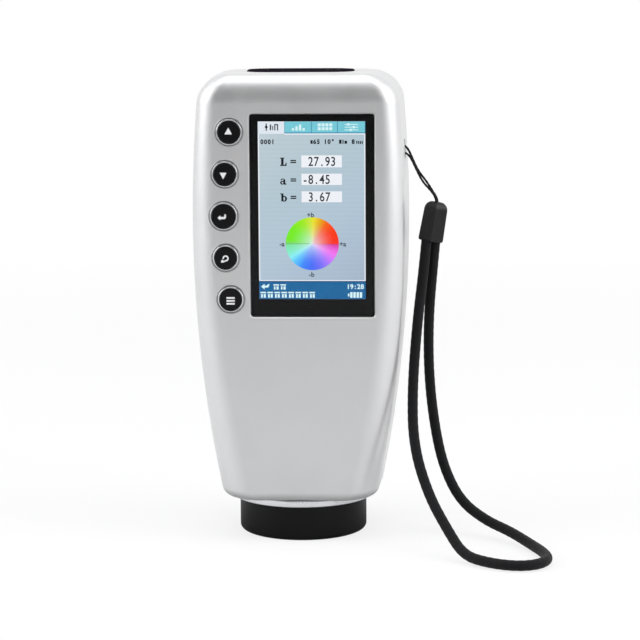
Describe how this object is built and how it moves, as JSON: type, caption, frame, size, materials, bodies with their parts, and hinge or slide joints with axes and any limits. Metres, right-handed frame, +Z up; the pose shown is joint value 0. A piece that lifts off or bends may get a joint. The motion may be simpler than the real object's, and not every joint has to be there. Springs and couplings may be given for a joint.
{
  "type": "portable colorimeter",
  "caption": "Handheld colorimeter: tapered silver case with a colour display, side keys, round measuring nose under a black calibration cap, and a wrist strap.",
  "frame": {"origin": "centre of the calibration cap's flat bottom, on the axis of the measuring nose", "axes": "+Z up along the nose's axis, -Y out of the display, +X to the right of someone facing the display"},
  "size_m": [0.1178, 0.0936, 0.1549],
  "materials": {
    "silver_paint": "satin silver-grey paint over a moulded shell",
    "ring_chrome": "bright satin ring",
    "collar_metal": "fine turned ring",
    "display_glass": "black-bordered glass, polished",
    "display_panel": "lit colour display",
    "key_black": "black keys with white signs",
    "panel_black": "dark glossy panel",
    "cap_black": "black moulded cap",
    "inner_black": "black moulded part",
    "board_green": "circuit board",
    "chip_black": "chip",
    "steel": "stamped steel",
    "screw_steel": "plated screws",
    "foam": "foam",
    "cell_wrap": "sleeved cell",
    "sphere_white": "white lined sphere",
    "tile_white": "white calibration tile",
    "lens_clear": "lens",
    "lamp_white": "lamp",
    "bead_black": "moulded bead",
    "strap_fabric": "braided cord"
  },
  "bodies": {
    "housing": {"front_shell": "silver_paint", "rear_shell": "silver_paint", "display_glass": "display_glass", "display_panel": "display_panel", "display_frame": "steel", "display_pad": "foam", "key_rings": "ring_chrome", "key_switches": "chip_black", "main_board": "board_green", "board_chips": "chip_black", "buzzer": "chip_black", "board_screws": "screw_steel", "case_screws": "screw_steel", "top_panel": "panel_black", "port_board": "board_green", "usb_socket": "steel", "power_jack": "inner_black", "power_switch_body": "steel", "port_screws": "screw_steel", "trigger_board": "board_green", "trigger_switch": "chip_black", "trigger_screws": "screw_steel", "battery_cell": "cell_wrap", "battery_contacts": "steel", "collar": "collar_metal", "collar_screws": "screw_steel", "port_nose": "inner_black", "aperture_plate": "steel", "sphere_lower": "sphere_white", "sphere_upper": "sphere_white", "sphere_screws": "screw_steel", "lens_tube": "inner_black", "sensor_lens": "lens_clear", "sensor_board": "board_green", "color_sensor": "chip_black", "lamp_board": "board_green", "lamp_led": "lamp_white", "lanyard_pin": "screw_steel", "strap_bead": "bead_black", "strap_string": "strap_fabric", "strap_cord": "strap_fabric"},
    "test_button": {"test_button": "panel_black"},
    "power_switch": {"power_switch_knob": "inner_black"},
    "battery_cover": {"battery_cover": "silver_paint"},
    "cap": {"calibration_cap": "cap_black", "cap_pad": "foam", "calibration_tile": "tile_white"},
    "key_up": {"key_up": "key_black"},
    "key_down": {"key_down": "key_black"},
    "key_enter": {"key_enter": "key_black"},
    "key_back": {"key_back": "key_black"},
    "key_menu": {"key_menu": "key_black"}
  },
  "joints": [
    {"name": "key_up_press", "type": "slide", "parent": "housing", "child": "key_up", "axis": [0, 1, 0], "range_m": [0, 0.0008], "stiffness_N_per_m": 900, "springref_m": -0.0006},
    {"name": "key_down_press", "type": "slide", "parent": "housing", "child": "key_down", "axis": [0, 1, 0], "range_m": [0, 0.0008], "stiffness_N_per_m": 900, "springref_m": -0.0006},
    {"name": "key_enter_press", "type": "slide", "parent": "housing", "child": "key_enter", "axis": [0, 1, 0], "range_m": [0, 0.0008], "stiffness_N_per_m": 900, "springref_m": -0.0006},
    {"name": "key_back_press", "type": "slide", "parent": "housing", "child": "key_back", "axis": [0, 1, 0], "range_m": [0, 0.0008], "stiffness_N_per_m": 900, "springref_m": -0.0006},
    {"name": "key_menu_press", "type": "slide", "parent": "housing", "child": "key_menu", "axis": [0, 1, 0], "range_m": [0, 0.0008], "stiffness_N_per_m": 900, "springref_m": -0.0006},
    {"name": "test_button_press", "type": "slide", "parent": "housing", "child": "test_button", "axis": [0, -1, 0], "range_m": [0, 0.0015], "stiffness_N_per_m": 800, "springref_m": -0.0008},
    {"name": "power_switch_slide", "type": "slide", "parent": "housing", "child": "power_switch", "axis": [1, 0, 0], "range_m": [0, 0.003]},
    {"name": "battery_cover_off", "type": "slide", "parent": "housing", "child": "battery_cover", "axis": [0, 1, 0], "range_m": [0, 0.02]},
    {"name": "calibration_cap_off", "type": "slide", "parent": "housing", "child": "cap", "axis": [0, 0, -1], "range_m": [0, 0.025]}
  ]
}
